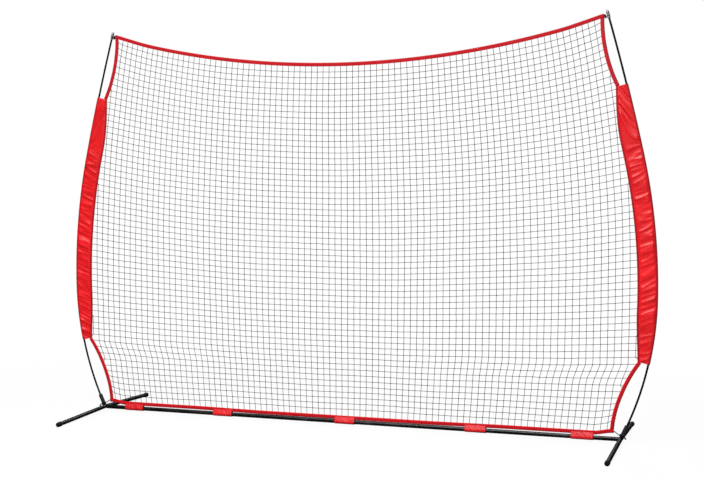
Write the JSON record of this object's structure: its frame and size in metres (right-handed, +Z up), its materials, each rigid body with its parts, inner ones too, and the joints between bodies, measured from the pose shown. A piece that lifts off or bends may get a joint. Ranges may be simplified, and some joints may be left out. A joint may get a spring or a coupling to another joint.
{
  "type": "sports barrier net",
  "caption": "Free-standing sports barrier net: bowed poles in splayed feet, held apart by a sectional base bar, stretch a square-mesh net with bound edges and cloth pole sleeves.",
  "frame": {"origin": "on the ground, midway between the hubs and in the plane of the net", "axes": "+X along the base bar to the viewer's right, +Y away from the viewer, +Z up"},
  "size_m": [4.1016, 1.2606, 2.7064],
  "materials": {
    "frame_tube": "semi-gloss black powder coat on steel tube",
    "foot_cap": "matt moulded",
    "inner_steel": "bare drawn steel",
    "button_steel": "bright plated",
    "spring_steel": "blued spring steel",
    "bushing": "matt moulded",
    "pole": "smooth glass-fibre rod",
    "ferrule": "drawn tube",
    "tip": "satin",
    "loop_webbing": "woven webbing",
    "elastic_cord": "braided elastic",
    "sleeve_cloth": "satin woven nylon",
    "edge_band": "folded woven tape",
    "twine": "braided twine",
    "strap_cloth": "satin woven nylon with hook-and-loop"
  },
  "bodies": {
    "frame": {"foot_left": "frame_tube", "cap_left_front": "foot_cap", "cap_left_rear": "foot_cap", "joiner_left": "inner_steel", "spring_hub_left": "spring_steel", "spring_joint_left": "spring_steel", "bushing_left": "bushing", "pole_lower_left": "pole", "pole_middle_left": "pole", "pole_upper_left": "pole", "ferrule_lower_left": "ferrule", "ferrule_upper_left": "ferrule", "tip_left": "tip", "loop_left": "loop_webbing", "cord_left": "elastic_cord", "sleeve_left": "sleeve_cloth", "upper_band_left": "edge_band", "lower_band_left": "edge_band", "foot_right": "frame_tube", "cap_right_front": "foot_cap", "cap_right_rear": "foot_cap", "joiner_right": "inner_steel", "spring_hub_right": "spring_steel", "spring_joint_right": "spring_steel", "bushing_right": "bushing", "pole_lower_right": "pole", "pole_middle_right": "pole", "pole_upper_right": "pole", "ferrule_lower_right": "ferrule", "ferrule_upper_right": "ferrule", "tip_right": "tip", "loop_right": "loop_webbing", "cord_right": "elastic_cord", "sleeve_right": "sleeve_cloth", "upper_band_right": "edge_band", "lower_band_right": "edge_band", "bar_left": "frame_tube", "bar_middle": "frame_tube", "bar_right": "frame_tube", "top_band": "edge_band", "hem_band": "edge_band", "net_cross_twines": "twine", "net_upright_twines": "twine", "strap_far_left": "strap_cloth", "strap_left": "strap_cloth", "strap_middle": "strap_cloth", "strap_right": "strap_cloth", "strap_far_right": "strap_cloth"},
    "flap_far_left_body": {"flap_far_left": "strap_cloth"},
    "flap_left_body": {"flap_left": "strap_cloth"},
    "flap_middle_body": {"flap_middle": "strap_cloth"},
    "flap_right_body": {"flap_right": "strap_cloth"},
    "flap_far_right_body": {"flap_far_right": "strap_cloth"},
    "button_hub_left_body": {"button_hub_left": "button_steel"},
    "button_hub_right_body": {"button_hub_right": "button_steel"},
    "button_joint_left_body": {"button_joint_left": "button_steel"},
    "button_joint_right_body": {"button_joint_right": "button_steel"}
  },
  "joints": [
    {"name": "flap_far_left_open", "type": "hinge", "parent": "frame", "child": "flap_far_left_body", "pos_m": [-1.59, 0, 0.0184], "axis": [1, 0, 0], "range_deg": [0, 80]},
    {"name": "flap_left_open", "type": "hinge", "parent": "frame", "child": "flap_left_body", "pos_m": [-0.9, 0, 0.0184], "axis": [1, 0, 0], "range_deg": [0, 80]},
    {"name": "flap_middle_open", "type": "hinge", "parent": "frame", "child": "flap_middle_body", "pos_m": [0, 0, 0.0184], "axis": [1, 0, 0], "range_deg": [0, 80]},
    {"name": "flap_right_open", "type": "hinge", "parent": "frame", "child": "flap_right_body", "pos_m": [0.9, 0, 0.0184], "axis": [1, 0, 0], "range_deg": [0, 80]},
    {"name": "flap_far_right_open", "type": "hinge", "parent": "frame", "child": "flap_far_right_body", "pos_m": [1.59, 0, 0.0184], "axis": [1, 0, 0], "range_deg": [0, 80]},
    {"name": "button_hub_left_press", "type": "slide", "parent": "frame", "child": "button_hub_left_body", "axis": [0, -1, 0], "range_m": [0, 0.0046], "stiffness_N_per_m": 1500, "springref_m": -0.001, "deforming": ["spring_hub_left"]},
    {"name": "button_hub_right_press", "type": "slide", "parent": "frame", "child": "button_hub_right_body", "axis": [0, -1, 0], "range_m": [0, 0.0046], "stiffness_N_per_m": 1500, "springref_m": -0.001, "deforming": ["spring_hub_right"]},
    {"name": "button_joint_left_press", "type": "slide", "parent": "frame", "child": "button_joint_left_body", "axis": [0, -1, 0], "range_m": [0, 0.0046], "stiffness_N_per_m": 1500, "springref_m": -0.001, "deforming": ["spring_joint_left"]},
    {"name": "button_joint_right_press", "type": "slide", "parent": "frame", "child": "button_joint_right_body", "axis": [0, -1, 0], "range_m": [0, 0.0046], "stiffness_N_per_m": 1500, "springref_m": -0.001, "deforming": ["spring_joint_right"]}
  ]
}
